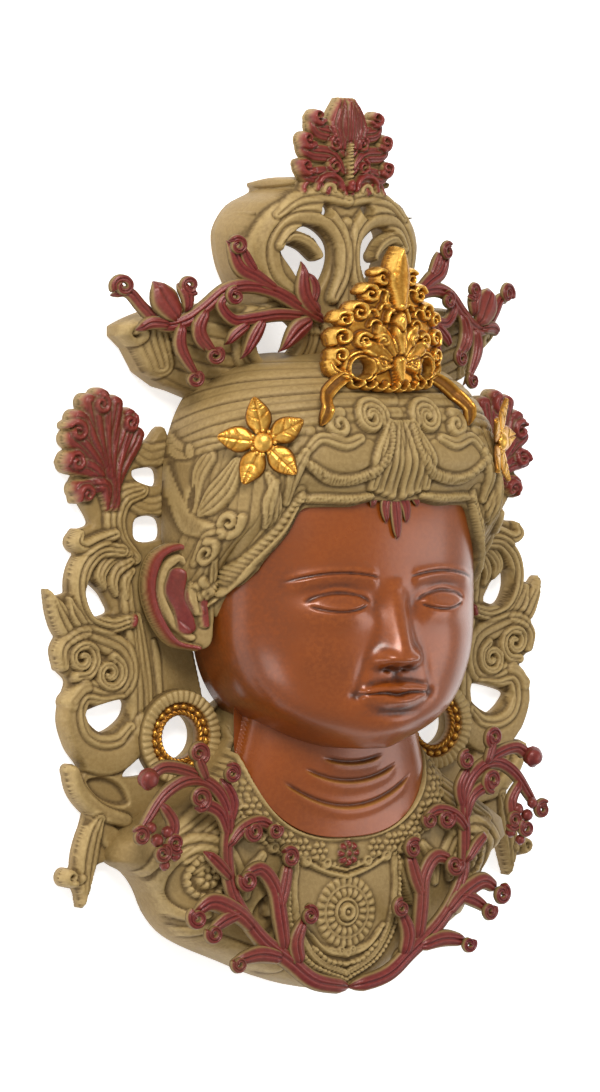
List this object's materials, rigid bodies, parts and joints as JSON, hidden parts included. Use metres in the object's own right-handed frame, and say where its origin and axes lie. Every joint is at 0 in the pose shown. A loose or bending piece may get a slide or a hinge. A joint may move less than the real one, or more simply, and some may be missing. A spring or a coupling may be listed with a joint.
{
  "type": "brass wall mask",
  "caption": "Cast brass wall mask, hollow behind: calm face, pierced leafy headdress and side panels, gilded tiara and flowers, red scrolling sprays. It lies on its back.",
  "frame": {"origin": "on the resting surface, at the middle of the mask's outline", "axes": "+X to the viewer's right, +Y towards the crown, +Z out of the wall, which is up as the mask lies on its back"},
  "size_m": [0.344, 0.5089, 0.1091],
  "materials": {
    "antique_brass": "khaki antique coat over cast brass, satin, with darker recesses",
    "face_lacquer": "clear amber-brown lacquer over polished brass, glossy",
    "gilt": "bright gilded brass with brown patina in the recesses",
    "red_lacquer": "maroon paint, rubbed through to khaki brass along the edges"
  },
  "bodies": {
    "root": {"mask_casting": "antique_brass", "tiara": "gilt", "flower_left": "gilt", "flower_right": "gilt", "crown_vine_left": "red_lacquer", "crown_vine_right": "red_lacquer", "lower_vine": "red_lacquer"}
  },
  "joints": []
}
